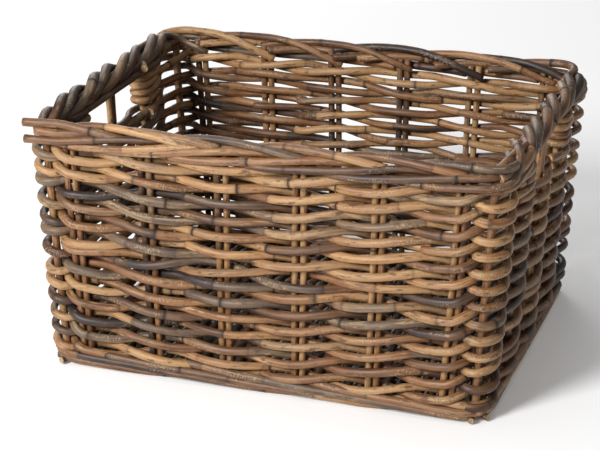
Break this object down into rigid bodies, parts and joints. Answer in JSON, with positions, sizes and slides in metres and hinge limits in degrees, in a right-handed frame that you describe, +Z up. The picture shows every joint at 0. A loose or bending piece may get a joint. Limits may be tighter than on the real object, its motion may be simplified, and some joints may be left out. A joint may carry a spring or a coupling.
{
  "type": "wicker log basket",
  "caption": "Open rectangular log basket of twined round rattan rods, tapering towards the foot, with a plaited rim and a hand hole in each short end.",
  "frame": {"origin": "centre of the footprint on the floor", "axes": "+X along the long side, -Y towards the front long wall, +Z up"},
  "size_m": [0.5002, 0.3856, 0.2658],
  "materials": {
    "weaving_rattan": "weathered round rattan with its bark partly worn, low sheen",
    "upright_rattan": "darker round rattan, low sheen",
    "border_rattan": "thick round rattan, polished by handling, low sheen",
    "handle_rattan": "thick twisted rattan, low sheen",
    "foot_rattan": "round rattan, dull",
    "base_rattan": "round rattan, dull"
  },
  "bodies": {
    "root": {"base_mat": "base_rattan", "base_stick_back": "base_rattan", "base_stick_front": "base_rattan", "border_back": "border_rattan", "border_front": "border_rattan", "corner_post_back_end": "upright_rattan", "corner_post_front_end": "upright_rattan", "corner_post_left_end": "upright_rattan", "corner_post_right_end": "upright_rattan", "course_01_back": "weaving_rattan", "course_01_front": "weaving_rattan", "course_02_back": "weaving_rattan", "course_02_front": "weaving_rattan", "course_03_a": "weaving_rattan", "course_03_b": "weaving_rattan", "course_04_a": "weaving_rattan", "course_04_b": "weaving_rattan", "course_05_a": "weaving_rattan", "course_05_b": "weaving_rattan", "course_06_a": "weaving_rattan", "course_06_b": "weaving_rattan", "course_07_a": "weaving_rattan", "course_07_b": "weaving_rattan", "course_08_a": "weaving_rattan", "course_08_b": "weaving_rattan", "course_09_a": "weaving_rattan", "course_09_b": "weaving_rattan", "course_10_a": "weaving_rattan", "course_10_b": "weaving_rattan", "course_11_a": "weaving_rattan", "course_11_b": "weaving_rattan", "course_12_a": "weaving_rattan", "course_12_b": "weaving_rattan", "course_13_a": "weaving_rattan", "course_13_b": "weaving_rattan", "foot_border": "foot_rattan", "handle_left": "handle_rattan", "handle_right": "handle_rattan", "rail_left": "handle_rattan", "rail_right": "handle_rattan", "stake_back_1": "upright_rattan", "stake_back_2": "upright_rattan", "stake_back_3": "upright_rattan", "stake_back_4": "upright_rattan", "stake_back_5": "upright_rattan", "stake_back_6": "upright_rattan", "stake_front_1": "upright_rattan", "stake_front_2": "upright_rattan", "stake_front_3": "upright_rattan", "stake_front_4": "upright_rattan", "stake_front_5": "upright_rattan", "stake_front_6": "upright_rattan", "stake_left_1": "upright_rattan", "stake_left_2": "upright_rattan", "stake_left_3": "upright_rattan", "stake_right_1": "upright_rattan", "stake_right_2": "upright_rattan", "stake_right_3": "upright_rattan"}
  },
  "joints": []
}
